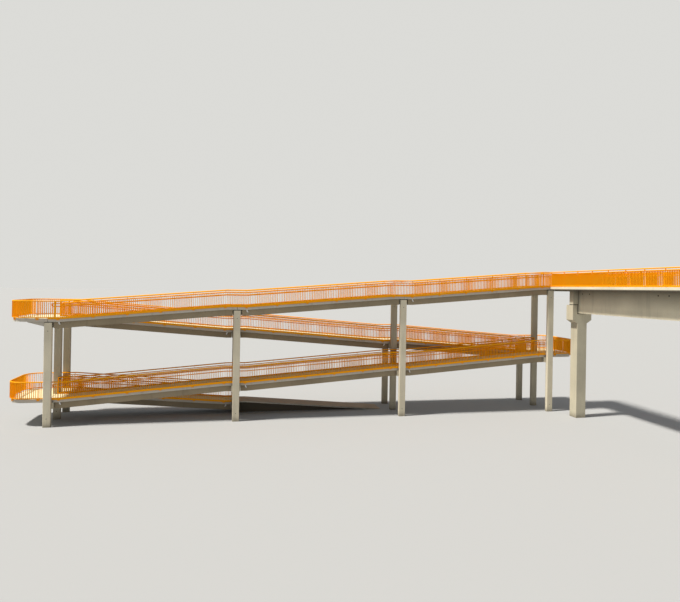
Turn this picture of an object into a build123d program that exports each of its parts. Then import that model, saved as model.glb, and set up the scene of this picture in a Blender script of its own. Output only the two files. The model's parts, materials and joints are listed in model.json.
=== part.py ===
from build123d import *
import math
import os

os.makedirs("parts", exist_ok=True)

# Footbridge with a switchback ramp. Sizes are in millimetres.
# Origin: middle of the foot of the first near column, on the ground.
# X runs along the ramps, Y runs away from the road, Z is up.
# Frames of columns stand at X = 0, SPAN, 2 SPAN and 3 SPAN.
# Flights are numbered in the order they are climbed.

# Layout
SPAN = 10900.0
SPAN_COUNT = 3
RISE = 800.0
FLAT = 650.0
ROW_PITCH = 2020.0

# Columns
COLUMN_X = 420.0
COLUMN_Y = 250.0
COLUMN_CHAMFER = 18.0
PAD_X = 300.0
PAD_Y = 170.0
PAD_T = 50.0

# Slabs and the webs under them
SLAB = 200.0
JOINT = 20.0
WEB_DROP = 380.0
WEB_T = 180.0
WEB_INSET = 150.0
WEB_END = 300.0
OVERHANG = 200.0
COLUMN_CLEAR = 10.0

# Cross beams between the columns
CROSS_X = 560.0
CROSS_H = 360.0

# Landings
LOWER_OUT = 2250.0
UPPER_OUT = 2070.0
RIGHT_OUT = 2150.0
LANDING_R = 850.0
RIB_REACH = 1120.0
RIB_ROOT = 280.0
RIB_TIP = 40.0

# Low ramp at the foot of the climb
TOE = 15.0
RAMP_LIP = 90.0
RAMP_INSET = 300.0

# Drain spouts under the near edge at the foot of each slope
DRAIN_R = 37.0
DRAIN_DROP = 80.0
DRAIN_ELBOW = 95.0
DRAIN_TURN = 135.0
DRAIN_IN = 75.0
DRAIN_BACK = 50.0

# Railings. Posts are flat plates set across the rail line. The shares say
# where a landing's end side has its posts.
SIDE_AXIS = 45.0
POST = 16.0
POST_DEPTH = 60.0
END_POST = 60.0
THICK_POST = 100.0
THICK_AT = 400.0
BRACKET_W = 200.0
BRACKET_TIP = 150.0
BRACKET_T = 25.0
BRACKET_RISE = 20.0
BRACKET_DROP = 95.0
BASE_W = 120.0
BASE_T = 15.0
MAIN_INSET = 70.0
RAIL_H = 1050.0
RAIL_R = 36.0
HAND_HIGH = 880.0
HAND_LOW = 710.0
HAND_R = 26.0
HAND_REACH = 30.0
HAND_START = 300.0
ARM = 12.0
FOOT_RAIL_H = 60.0
FOOT_RAIL_R = 28.0
POST_FIRST = 560.0
POST_PITCH = 1920.0
POSTS_PER_SPAN = 6
RAIL_CLEAR = 6.0
RAIL_PAIR_GAP = 32.0
RAIL_END = 60.0
END_SIDE_SHARES = (0.25, 0.75)

# Main bridge
DECK_W = 2360.0
DECK_OUT = 160.0
MAIN_SPAN = 14700.0
MAIN_PIER_Y = -1820.0
DECK_TAIL = 450.0
GIRDER_W = 580.0
GIRDER_H = 1560.0
GIRDER_END = 300.0
SHAFT = 720.0
CAP_W = 1400.0
CAP_H = 400.0
CHEEK_H = 600.0
CHEEK_GAP = 80.0
HAUNCH = 220.0
STUB_W = 380.0
STUB_Y = 400.0
LINK_H = 100.0
MAIN_POST_PITCH = 1470.0

# How close two lengths or a bend may be to count as none
SAME = 0.001
NO_BEND = 1.0

# Sizes that follow from the ones above
QUARTER = 90
DIAGONAL = math.sqrt(0.5)
COL_HALF_X = COLUMN_X / 2
COL_HALF_Y = COLUMN_Y / 2
RAIL_HALF = max(RAIL_R, POST_DEPTH / 2)
EDGE_GAP = SIDE_AXIS + RAIL_HALF + RAIL_CLEAR
ROW_Y = [0.0, ROW_PITCH, 2 * ROW_PITCH]
FRAME_X = [SPAN * i for i in range(SPAN_COUNT + 1)]
LAST = SPAN_COUNT
FIRST_STEPS = 2
LOWER_LEVEL = FIRST_STEPS * RISE
RIGHT_LEVEL = LOWER_LEVEL + SPAN_COUNT * RISE
UPPER_LEVEL = RIGHT_LEVEL + SPAN_COUNT * RISE
TOP_LEVEL = UPPER_LEVEL + SPAN_COUNT * RISE

# Floor heights of each flight at the frames, from the first frame on
FLOOR_1 = [LOWER_LEVEL - RISE * i for i in range(FIRST_STEPS + 1)]
FLOOR_2 = [LOWER_LEVEL + RISE * i for i in range(SPAN_COUNT + 1)]
FLOOR_3 = [UPPER_LEVEL - RISE * i for i in range(SPAN_COUNT + 1)]
FLOOR_4 = [UPPER_LEVEL + RISE * i for i in range(SPAN_COUNT + 1)]

# Near and far slab edges of each flight
INNER_NEAR = ROW_Y[0] + COL_HALF_Y + EDGE_GAP
INNER_FAR = ROW_Y[1] - COL_HALF_Y - EDGE_GAP
OUTER_NEAR = ROW_Y[1] + COL_HALF_Y + EDGE_GAP
OUTER_FAR = ROW_Y[2] - COL_HALF_Y - EDGE_GAP
EDGE_1 = (OUTER_NEAR, OUTER_FAR)
EDGE_2 = (INNER_NEAR, INNER_FAR)
EDGE_3 = (OUTER_NEAR, ROW_Y[2] + OVERHANG)
EDGE_4 = (ROW_Y[0] - OVERHANG, OUTER_NEAR - 2 * (SIDE_AXIS + RAIL_HALF) - RAIL_PAIR_GAP)

# Main bridge positions
DECK_LEFT = FRAME_X[LAST] - DECK_OUT
DECK_RIGHT = DECK_LEFT + DECK_W
DECK_MID = DECK_LEFT + DECK_W / 2
DECK_START = EDGE_4[0] - JOINT
PIER_Y = [MAIN_PIER_Y, MAIN_PIER_Y - MAIN_SPAN]
DECK_STOP = PIER_Y[1] - DECK_TAIL
DECK_BOTTOM = TOP_LEVEL - SLAB
GIRDER_BOTTOM = DECK_BOTTOM - GIRDER_H
LEDGE = GIRDER_BOTTOM - PAD_T
CAP_BOTTOM = LEDGE - CAP_H
CHEEK_TOP = LEDGE + CHEEK_H


def box(x0, x1, y0, y1, z0, z1):
    """Box between two opposite corners."""
    middle = Pos((x0 + x1) / 2, (y0 + y1) / 2, (z0 + z1) / 2)
    return middle * Box(x1 - x0, y1 - y0, z1 - z0)


def side_solid(points, y0, y1):
    """Solid with a given outline in X and Z, from y0 to y1."""
    wire = Wire.make_polygon([(x, y0, z) for x, z in points], close=True)
    return Part() + Solid.extrude(Face(wire), Vector(0, y1 - y0, 0))


def save(name, shape):
    """Write one node."""
    export_step(shape, "parts/" + name + ".step")


def floor_at(x, i, floors):
    """Floor height at x in the span that starts at frame i."""
    a = FRAME_X[i] + FLAT
    b = FRAME_X[i + 1] - FLAT
    if x <= a:
        return floors[i]
    if x >= b:
        return floors[i + 1]
    return floors[i] + (floors[i + 1] - floors[i]) * (x - a) / (b - a)


def floor_line(i, floors, x0, x1):
    """Floor points of one span between x0 and x1, bends included."""
    bends = [FRAME_X[i] + FLAT, FRAME_X[i + 1] - FLAT]
    xs = [x0] + [x for x in bends if x0 < x < x1] + [x1]
    return [(x, floor_at(x, i, floors)) for x in xs]


def band(line, top, bottom, y0, y1):
    """Solid that follows a floor line, between two drops below it."""
    upper = [(x, z - top) for x, z in line]
    lower = [(x, z - bottom) for x, z in reversed(line)]
    return side_solid(upper + lower, y0, y1)


def span(i, floors, edges):
    """Slab of one span with its two webs."""
    x0 = FRAME_X[i]
    x1 = FRAME_X[i + 1]
    slab_line = floor_line(i, floors, x0 + JOINT / 2, x1 - JOINT / 2)
    web_line = floor_line(i, floors, x0 + WEB_END, x1 - WEB_END)
    shape = band(slab_line, 0, SLAB, edges[0], edges[1])
    for y in (edges[0] + WEB_INSET, edges[1] - WEB_INSET - WEB_T):
        shape += band(web_line, SLAB, SLAB + WEB_DROP, y, y + WEB_T)
    return shape


def column(frame, row, top):
    """Column with chamfered corners and a bearing pad on its head."""
    x = FRAME_X[frame]
    y = ROW_Y[row]
    z = top - PAD_T
    shaft = box(x - COL_HALF_X, x + COL_HALF_X, y - COL_HALF_Y, y + COL_HALF_Y, 0, z)
    shaft = chamfer(shaft.edges().filter_by(Axis.Z), COLUMN_CHAMFER)
    return shaft


def pad(frame, y0, y1, top):
    """Bearing pad on a column head."""
    x = FRAME_X[frame]
    return box(x - PAD_X / 2, x + PAD_X / 2, y0, y1, top - PAD_T, top)


def cross_beam(frame, row, top):
    """Beam from the column of one row to the next, under a slab."""
    x = FRAME_X[frame]
    y0 = ROW_Y[row] + COL_HALF_Y
    y1 = ROW_Y[row + 1] - COL_HALF_Y
    return box(x - CROSS_X / 2, x + CROSS_X / 2, y0, y1, top - CROSS_H, top)


def landing(frame, out, level, y0, y1, notch):
    """Landing slab with two rounded corners, out along X from a frame."""
    s = 1 if out > 0 else -1
    x_in = FRAME_X[frame] + s * JOINT / 2
    x_out = FRAME_X[frame] + out
    shape = box(min(x_in, x_out), max(x_in, x_out), y0, y1, level - SLAB, level)
    corners = shape.edges().filter_by(Axis.Z).sort_by(Axis.X)
    corners = corners[-2:] if s > 0 else corners[:2]
    shape = fillet(corners, LANDING_R)
    if notch:
        reach = COL_HALF_X + COLUMN_CLEAR
        half = COL_HALF_Y + COLUMN_CLEAR
        x = FRAME_X[frame]
        y = ROW_Y[1]
        shape -= box(x - reach, x + reach, y - half, y + half, level - SLAB, level)
    return shape


def rib(x_root, x_tip, y0, y1, level):
    """Bracket under a landing, deep at the root and shallow at the tip."""
    top = level - SLAB
    points = [(x_root, top), (x_tip, top), (x_tip, top - RIB_TIP), (x_root, top - RIB_ROOT)]
    return side_solid(points, y0, y1)


def tube(points, radius):
    """Round bar along straight runs."""
    wire = Wire.make_polygon(points, close=False)
    start = Plane(origin=wire @ 0, z_dir=wire % 0)
    return sweep(start * Circle(radius), path=wire, transition=Transition.RIGHT)


def tube_along(wire, radius):
    """Round bar along a smooth line."""
    start = Plane(origin=wire @ 0, z_dir=wire % 0)
    return sweep(start * Circle(radius), path=wire)


def bracket(depth):
    """Plate on the slab side, narrower at its foot."""
    head = BRACKET_W / 2
    foot = BRACKET_TIP / 2
    outline = [
        (0, -head, BRACKET_RISE), (0, head, BRACKET_RISE),
        (0, foot, -BRACKET_DROP), (0, -foot, -BRACKET_DROP),
    ]
    face = Face(Wire.make_polygon(outline, close=True))
    return Part() + Solid.extrude(face, Vector(depth, 0, 0))


def post(x, y, z, angle, arms, width, axis=SIDE_AXIS):
    """Post of a railing; the angle points outward from the slab edge.

    A post whose axis is outside the edge hangs on a bracket, or only on
    the rails where it ends a run. A post whose axis is inside the edge
    stands on a base plate.
    """
    inner = axis - POST_DEPTH / 2
    hung = axis > 0 and width == POST
    foot = -BRACKET_DROP if hung else 0
    shape = box(inner, inner + POST_DEPTH, -width / 2, width / 2, foot, RAIL_H - RAIL_R)
    if hung:
        shape += bracket(BRACKET_T)
    elif axis < 0:
        half = BASE_W / 2
        shape += box(axis - half, axis + half, -half, half, 0, BASE_T)
    if arms:
        for h in (HAND_HIGH, HAND_LOW):
            shape += box(inner - HAND_REACH, inner, -ARM / 2, ARM / 2, h - ARM / 2, h + ARM / 2)
    return Location((x, y, z), (0, 0, angle)) * shape


def shifted(points, nx, ny, out, up):
    """Slab edge points moved outward and up."""
    return [(x + nx * out, y + ny * out, z + up) for x, y, z in points]


def railing(points, normal, posts, hand_line, axis=SIDE_AXIS):
    """Railing along a straight slab edge.

    Each post is (x, y, z, width, arms). The handrails follow their own
    line of edge points, or are left out when it is empty.
    """
    nx, ny = normal
    angle = math.degrees(math.atan2(ny, nx))
    shape = tube(shifted(points, nx, ny, axis, RAIL_H - RAIL_R), RAIL_R)
    shape += tube(shifted(points, nx, ny, axis, FOOT_RAIL_H), FOOT_RAIL_R)
    inward = axis - POST_DEPTH / 2 - HAND_REACH
    if hand_line:
        for h in (HAND_HIGH, HAND_LOW):
            shape += tube(shifted(hand_line, nx, ny, inward, h), HAND_R)
    for x, y, z, width, arms in posts:
        shape += post(x, y, z, angle, arms, width, axis)
    return shape


def trimmed(points, x0, x1):
    """Part of a line between two X positions."""
    inside = [p for p in points if x0 < p[0] < x1]
    return [at_x(points, x0)] + inside + [at_x(points, x1)]


def at_x(points, x):
    """Point of a line at one X position; past its end the line stays level."""
    for a, b in zip(points, points[1:]):
        if a[0] <= x <= b[0]:
            t = (x - a[0]) / (b[0] - a[0])
            return (x, a[1], a[2] + (b[2] - a[2]) * t)
    return (x, points[-1][1], points[-1][2])


def flight_railing(floors, y_edge, side, spans, x0, x1, hands, extra):
    """Railing along one side of a flight, from x0 to x1."""
    points = []
    for i in range(spans):
        for x, z in floor_line(i, floors, FRAME_X[i], FRAME_X[i + 1]):
            points.append((x, y_edge, z))
    points = unique(points)
    points = trimmed(points, x0, x1)
    stations = []
    for i in range(spans):
        for k in range(POSTS_PER_SPAN):
            stations.append((FRAME_X[i] + POST_FIRST + k * POST_PITCH, POST))
    stations += extra
    posts = []
    for x, width in stations:
        if x0 <= x <= x1:
            arms = hands[0] <= x <= hands[1]
            posts.append((x, y_edge, at_x(points, x)[2], width, arms))
    return railing(points, (0, side), posts, trimmed(points, hands[0], hands[1]))


def unique(points):
    """Drop a point that repeats the one before it or lies on a level run."""
    out = []
    for p in points:
        if out and abs(p[0] - out[-1][0]) < SAME:
            continue
        out.append(p)
    keep = [out[0]]
    for a, b, c in zip(out, out[1:], out[2:]):
        if abs((b[2] - a[2]) * (c[0] - b[0]) - (c[2] - b[2]) * (b[0] - a[0])) > NO_BEND:
            keep.append(b)
    return keep + [out[-1]]


def landing_railing(frame, out, level, y0, y1):
    """Railing around the outer sides of a landing."""
    s = 1 if out > 0 else -1
    x_in = FRAME_X[frame]
    x_out = x_in + out
    cx = x_out - s * LANDING_R
    y_a = y0 + LANDING_R
    y_b = y1 - LANDING_R
    shape = Part()
    x_end = x_out + s * SIDE_AXIS
    y_near = y0 - SIDE_AXIS
    y_far = y1 + SIDE_AXIS
    slant = (LANDING_R + SIDE_AXIS) * DIAGONAL
    x_mid = cx + s * slant
    for h, r in ((RAIL_H - RAIL_R, RAIL_R), (FOOT_RAIL_H, FOOT_RAIL_R)):
        z = level + h
        line = [
            Line((x_in, y_near, z), (cx, y_near, z)),
            ThreePointArc((cx, y_near, z), (x_mid, y_a - slant, z), (x_end, y_a, z)),
            Line((x_end, y_a, z), (x_end, y_b, z)),
            ThreePointArc((x_end, y_b, z), (x_mid, y_b + slant, z), (cx, y_far, z)),
            Line((cx, y_far, z), (x_in, y_far, z)),
        ]
        shape += tube_along(Wire(line), r)
    slant = LANDING_R * DIAGONAL
    x_post = x_in + s * POST_FIRST
    end = QUARTER - s * QUARTER
    turn = s * QUARTER / 2
    shape += post(x_post, y0, level, -QUARTER, False, POST)
    shape += post(x_post, y1, level, QUARTER, False, POST)
    shape += post(cx + s * slant, y_a - slant, level, turn - QUARTER, False, POST)
    shape += post(cx + s * slant, y_b + slant, level, QUARTER - turn, False, POST)
    for t in END_SIDE_SHARES:
        shape += post(x_out, y_a + (y_b - y_a) * t, level, end, False, POST)
    return shape


def main_pier(y, stub_top):
    """Pier of the main bridge: shaft, haunched cap with cheeks, and stubs."""
    half = SHAFT / 2
    low = CAP_BOTTOM - HAUNCH
    shape = box(DECK_MID - half, DECK_MID + half, y - half, y + half, 0, low)
    shape = chamfer(shape.edges().filter_by(Axis.Z), COLUMN_CHAMFER)
    cap = CAP_W / 2
    seat = GIRDER_W / 2 + CHEEK_GAP
    outline = [
        (DECK_MID - half, low), (DECK_MID + half, low), (DECK_MID + cap, CAP_BOTTOM),
        (DECK_MID + cap, LEDGE), (DECK_MID - cap, LEDGE), (DECK_MID - cap, CAP_BOTTOM),
    ]
    shape += side_solid(outline, y - half, y + half)
    front = y - half
    for s in (-1, 1):
        xs = sorted((DECK_MID + s * seat, DECK_MID + s * cap))
        shape += box(xs[0], xs[1], y - half, y + half, LEDGE, CHEEK_TOP)
        xs = sorted((DECK_MID + s * (cap - STUB_W), DECK_MID + s * cap))
        shape += box(xs[0], xs[1], front, front + STUB_Y, CHEEK_TOP, stub_top)
    shape += box(
        DECK_MID - PAD_X / 2, DECK_MID + PAD_X / 2,
        y - PAD_Y, y + PAD_Y, LEDGE, GIRDER_BOTTOM,
    )
    return shape


# Columns: where each one ends
HEAD_4 = [z - SLAB for z in FLOOR_4]
HEAD_3 = [z - SLAB for z in FLOOR_3]
for f in range(SPAN_COUNT + 1):
    heads = (HEAD_4[f], HEAD_4[f], HEAD_3[f])
    group = Part()
    for row in range(len(ROW_Y)):
        y0 = ROW_Y[row] - PAD_Y / 2
        y1 = ROW_Y[row] + PAD_Y / 2
        if row == 1:
            y1 = min(y1, EDGE_4[1])
        group += column(f, row, heads[row])
        group += pad(f, y0, y1, heads[row])
    save("columns_{}".format(f + 1), group)

# Cross beams of each frame
CROSS = [
    [(0, FLOOR_2[0]), (1, FLOOR_1[0]), (0, FLOOR_4[0]), (1, FLOOR_3[0])],
    [(0, FLOOR_2[1]), (1, FLOOR_1[1]), (0, FLOOR_4[1]), (1, FLOOR_3[1])],
    [(0, FLOOR_2[2]), (0, FLOOR_4[2]), (1, FLOOR_3[2])],
    [(0, FLOOR_2[3]), (0, FLOOR_4[3]), (1, FLOOR_3[3])],
]
for f, beams in enumerate(CROSS):
    shape = Part()
    for row, floor in beams:
        shape += cross_beam(f, row, floor - SLAB)
    save("cross_beams_{}".format(f + 1), shape)

# Spans of the flights
save("flight_1_span", span(0, FLOOR_1, EDGE_1))
for n, floors, edges in ((2, FLOOR_2, EDGE_2), (3, FLOOR_3, EDGE_3), (4, FLOOR_4, EDGE_4)):
    for i in range(SPAN_COUNT):
        save("flight_{}_span_{}".format(n, i + 1), span(i, floors, edges))

# Low ramp: a thin deck on a solid wedge, down to the ground
start = FRAME_X[1] + JOINT / 2
bend = FRAME_X[1] + FLAT
wall = FRAME_X[1] + CROSS_X / 2 + COLUMN_CLEAR
level = FLOOR_1[1]
slope = (SPAN - 2 * FLAT) / (FLOOR_1[1] - FLOOR_1[2])
toe = bend + (level - TOE) * slope
meet = bend + (level - RAMP_LIP) * slope
under = level - RAMP_LIP
deck = [(start, level), (bend, level), (toe, TOE), (toe, 0), (meet, 0), (bend, under), (start, under)]
fill = [
    (start, under), (bend, under), (meet, 0),
    (wall, 0), (wall, level - SLAB), (start, level - SLAB),
]
shape = side_solid(deck, EDGE_1[0], EDGE_1[1])
shape += side_solid(fill, EDGE_1[0] + RAMP_INSET, EDGE_1[1] - RAMP_INSET)
save("low_ramp", shape)

# Landings, and the ribs that carry the upper one
save("landing_lower_left", landing(0, -LOWER_OUT, LOWER_LEVEL, EDGE_2[0], EDGE_1[1], True))
save("landing_right", landing(LAST, RIGHT_OUT, RIGHT_LEVEL, EDGE_2[0], EDGE_3[1], True))
shape = landing(0, -UPPER_OUT, UPPER_LEVEL, EDGE_4[0], EDGE_3[1], False)
for row_y in ROW_Y:
    shape += rib(-COL_HALF_X, -RIB_REACH, row_y - WEB_T / 2, row_y + WEB_T / 2, UPPER_LEVEL)
save("landing_upper_left", shape)

# Corner platform between the last flight and the main bridge
x_in = FRAME_X[LAST] + JOINT / 2
shape = box(x_in, DECK_RIGHT, EDGE_4[0], EDGE_4[1], DECK_BOTTOM, TOP_LEVEL)
root = FRAME_X[LAST] + COL_HALF_X
tip = DECK_RIGHT - WEB_INSET
shape += box(root, tip, ROW_Y[0] - COL_HALF_Y, ROW_Y[0] + COL_HALF_Y, DECK_BOTTOM - LINK_H, DECK_BOTTOM)
root = FRAME_X[LAST] + CROSS_X / 2
y = ROW_Y[1] - COL_HALF_Y - WEB_T
shape += box(root, tip, y, y + WEB_T, DECK_BOTTOM - LINK_H, DECK_BOTTOM)
save("corner_platform", shape)

# Main bridge
save("main_deck", box(DECK_LEFT, DECK_RIGHT, DECK_STOP, DECK_START, DECK_BOTTOM, TOP_LEVEL))
girder = box(
    DECK_MID - GIRDER_W / 2, DECK_MID + GIRDER_W / 2,
    PIER_Y[1] - GIRDER_END, PIER_Y[0] + GIRDER_END, GIRDER_BOTTOM, DECK_BOTTOM,
)
save("main_girder", girder)
link_front = PIER_Y[0] - SHAFT / 2
shape = Part()
for s in (-1, 1):
    xs = sorted((DECK_MID + s * (CAP_W / 2 - STUB_W), DECK_MID + s * CAP_W / 2))
    shape += box(xs[0], xs[1], link_front, ROW_Y[0] - COL_HALF_Y, DECK_BOTTOM - LINK_H, DECK_BOTTOM)
save("link_beams", shape)
save("main_pier_1", main_pier(PIER_Y[0], DECK_BOTTOM - LINK_H))
save("main_pier_2", main_pier(PIER_Y[1], DECK_BOTTOM))

# Railings of the flights. The inner ones stop at end posts, and the
# last one runs on to the corner of the main bridge.
end = FRAME_X[LAST]
first = FRAME_X[1]
hands = (HAND_START, end - HAND_START)
x0 = RAIL_END
x1 = end - RAIL_END
stops = [(x0 + END_POST / 2, END_POST), (x1 - END_POST / 2, END_POST)]
main_line = DECK_LEFT + MAIN_INSET - RAIL_HALF
long_runs = [
    ("rail_flight_2_near", FLOOR_2, EDGE_2[0], -1, 0, end, []),
    ("rail_flight_2_far", FLOOR_2, EDGE_2[1], 1, x0, x1, stops),
    ("rail_flight_3_near", FLOOR_3, EDGE_3[0], -1, x0, x1, stops),
    ("rail_flight_3_far", FLOOR_3, EDGE_3[1], 1, 0, end, []),
    ("rail_flight_4_near", FLOOR_4, EDGE_4[0], -1, 0, main_line, [(THICK_AT, THICK_POST)]),
    ("rail_flight_4_far", FLOOR_4, EDGE_4[1], 1, x0, end, stops[:1]),
]
for name, floors, y_edge, side, a, b, extra in long_runs:
    save(name, flight_railing(floors, y_edge, side, SPAN_COUNT, a, b, hands, extra))
hands = (HAND_START, first - HAND_START)
x1 = first - RAIL_END
stops = [(x0 + END_POST / 2, END_POST), (x1 - END_POST / 2, END_POST)]
shape = flight_railing(FLOOR_1, EDGE_1[0], -1, 1, x0, x1, hands, stops)
save("rail_flight_1_near", shape)
shape = flight_railing(FLOOR_1, EDGE_1[1], 1, 1, 0, x1, hands, stops[1:])
save("rail_flight_1_far", shape)

# Railings of the landings
save("rail_lower_left", landing_railing(0, -LOWER_OUT, LOWER_LEVEL, EDGE_2[0], EDGE_1[1]))
save("rail_upper_left", landing_railing(0, -UPPER_OUT, UPPER_LEVEL, EDGE_4[0], EDGE_3[1]))
save("rail_right", landing_railing(LAST, RIGHT_OUT, RIGHT_LEVEL, EDGE_2[0], EDGE_3[1]))

# Railing of the corner platform, on its far and right sides
shape = Part()
x0 = FRAME_X[LAST]
for h, r in ((RAIL_H - RAIL_R, RAIL_R), (FOOT_RAIL_H, FOOT_RAIL_R)):
    z = TOP_LEVEL + h
    corner = (DECK_RIGHT + SIDE_AXIS, EDGE_4[1] + SIDE_AXIS, z)
    last = (DECK_RIGHT + SIDE_AXIS, DECK_START, z)
    shape += tube([(x0, EDGE_4[1] + SIDE_AXIS, z), corner, last], r)
shape += post(x0 + POST_FIRST, EDGE_4[1], TOP_LEVEL, QUARTER, False, POST)
shape += post(DECK_RIGHT - POST_FIRST / 2, EDGE_4[1], TOP_LEVEL, QUARTER, False, POST)
shape += post(DECK_RIGHT, EDGE_4[1] - POST_FIRST / 2, TOP_LEVEL, 0, False, POST)
shape += post(DECK_RIGHT, EDGE_4[0] + POST_FIRST / 2, TOP_LEVEL, 0, False, POST)
save("rail_corner", shape)

# Railings of the main bridge, standing on the deck
count = int((DECK_START - DECK_STOP) // MAIN_POST_PITCH)
for name, x, s in (("rail_main_left", DECK_LEFT, -1), ("rail_main_right", DECK_RIGHT, 1)):
    points = [(x, DECK_START, TOP_LEVEL), (x, DECK_STOP, TOP_LEVEL)]
    stations = [DECK_START - BASE_W / 2 - k * MAIN_POST_PITCH for k in range(count)]
    stations.append(DECK_STOP + BASE_W / 2)
    posts = [(x, y, TOP_LEVEL, POST, True) for y in stations]
    save(name, railing(points, (s, 0), posts, points, -MAIN_INSET))

# Drain spouts: a short pipe and an elbow that points down the slope
flat_end = FLAT - DRAIN_BACK
places = [(FRAME_X[1] - flat_end, EDGE_1[0], FLOOR_1[1], -1)]
for i in range(SPAN_COUNT):
    places.append((FRAME_X[i] + flat_end, EDGE_2[0], FLOOR_2[i], 1))
    places.append((FRAME_X[i + 1] - flat_end, EDGE_3[0], FLOOR_3[i + 1], -1))
    places.append((FRAME_X[i] + flat_end, EDGE_4[0], FLOOR_4[i], 1))
group = Part()
for x, y_edge, floor, s in places:
    y = y_edge + DRAIN_IN
    top = floor - SLAB
    low = top - DRAIN_DROP
    pipe = Pos(x, y, (top + low) / 2) * Cylinder(DRAIN_R, top - low)
    pipe += Pos(x, y, low) * Sphere(DRAIN_R)
    tip = Location((x, y, low), (0, DRAIN_TURN * s, 0)) * Pos(0, 0, DRAIN_ELBOW / 2)
    pipe += tip * Cylinder(DRAIN_R, DRAIN_ELBOW)
    group += pipe
save("drain_spouts", group)
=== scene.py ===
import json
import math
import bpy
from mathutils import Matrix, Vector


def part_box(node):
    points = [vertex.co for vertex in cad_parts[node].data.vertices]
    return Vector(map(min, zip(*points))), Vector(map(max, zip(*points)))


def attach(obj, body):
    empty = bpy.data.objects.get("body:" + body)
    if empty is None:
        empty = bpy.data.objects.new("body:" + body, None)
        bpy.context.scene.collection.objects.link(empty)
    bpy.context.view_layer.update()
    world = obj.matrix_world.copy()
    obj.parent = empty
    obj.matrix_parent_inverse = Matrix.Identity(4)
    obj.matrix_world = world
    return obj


bl_info = {
    "name": "Footbridge With Switchback Ramp",
    "version": (1, 0, 0),
    "blender": (4, 5, 0),
    "location": "View3D > Sidebar > Footbridge",
    "description": "Dresses a ramp footbridge with railing bars, fittings, concrete and paint",
    "category": "Object",
}

import bpy
from bpy.props import FloatProperty, FloatVectorProperty, IntProperty, PointerProperty
from bpy.types import Operator, Panel, PropertyGroup
from mathutils import Matrix, Vector

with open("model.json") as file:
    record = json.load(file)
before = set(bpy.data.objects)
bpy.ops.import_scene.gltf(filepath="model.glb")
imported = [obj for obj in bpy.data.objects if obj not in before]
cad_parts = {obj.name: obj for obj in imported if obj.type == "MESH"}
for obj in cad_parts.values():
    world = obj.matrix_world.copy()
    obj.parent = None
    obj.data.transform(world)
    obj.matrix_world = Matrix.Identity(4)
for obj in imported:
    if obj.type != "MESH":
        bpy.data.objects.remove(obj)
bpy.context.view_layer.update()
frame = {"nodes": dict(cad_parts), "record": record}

# Floors of the flights at the frames, counted in rises above the ground
STEPS = {1: (2, 1, 0), 2: (2, 3, 4, 5), 3: (8, 7, 6, 5), 4: (8, 9, 10, 11)}
FRAMES = 4
SPAN_LENGTH = round(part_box("columns_2")[0].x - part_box("columns_1")[0].x, 3)
LOWER_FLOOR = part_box("landing_lower_left")[1].z
UPPER_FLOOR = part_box("landing_upper_left")[1].z
RISE_STEP = round((UPPER_FLOOR - LOWER_FLOOR) / (STEPS[3][0] - STEPS[2][0]), 3)
ROWS = 3
MIDDLE_ROW = 1
FAR_ROW = 2

# Light and camera, in the frame of the bridge
SUN_WAY = (0.50, 0.06, -0.864)
SUN_COLOUR = (1.0, 0.96, 0.88)
SUN_BLUR = math.radians(5)
WORLD_COLOUR = (0.93, 0.96, 1.0)
FLOOR_REACH = 900.0
CAMERA_PLACE = (10.147, -35.354, 8.476)
CAMERA_FAR = 3000.0
SENSOR = 36.0
PHOTO_WIDTH = 680.0
SHIFT_PIXELS = (-0.9, -15.07)

# Concrete: where clouds turn pale, how soft the borders of the painted light and shade on slab
# sides and lips are, how far the painted corner shade reaches, where webs and lips lie
CLOUDS = (0.35, 0.68)
WEB_SHADE_BLUR = 0.02
LIP_SHADE_BLUR = 0.01
CORNER_SHADE_REACH = 0.4
SPAN_WEB = 0.15
WEB_OVERLAP = 0.03
DECK_SHADE_DROP = 0.155

# Painted shade under the deck and the floors above: how far it reaches from a face, and how dark
# it gets
PIER_SHADE = (0.7, 0.6)
GIRDER_SHADE = (0.45, 0.75)
ROW_SHADE = ("Y", 0.3, 1.7, 0.36)
# How much paler the girder is painted than the main concrete: painted light on its shaded face
GIRDER_PAINTED_LIGHT = 1.42
# How much darker the tie mortar is than the column concrete
TIE_TONE = 0.33

# Small fittings
BOLT_HEAD = 0.009
BOLT_SIDES = 6
BOLT_EDGE = 0.022
BRACKET_BOLTS = ((-0.015, 0.07), (-0.07, 0.06))
MAT_INSET = 0.012
MAT_GAP = 0.002
SEAL_GAP = 0.0005
SEAL_INSET = 0.003
SEAL_TOP = 0.004
SEAL_FOOT = 0.05
BED_PROUD = 0.004
# Black strip under the girder, painted shade of its bearing gap: its half width and its clearance
GIRDER_SHADE_STRIP = 0.3
GIRDER_SHADE_STRIP_GAP = 0.001
TIE_FROM_END = 0.5
TIE_RADIUS = 0.028
TIE_SIDES = 12
MARK_DEPTH = 0.003
HOLE_FROM_TOP = 0.26
HOLE_FROM_END = 1.05
HOLE_PAIR = 0.74
MIDDLE_PAIR = 0.76
HOLE_RADIUS = 0.045
HOLE_SIDES = 16
LOOP_STEPS = 10
LOOP_SIDES = 12


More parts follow.
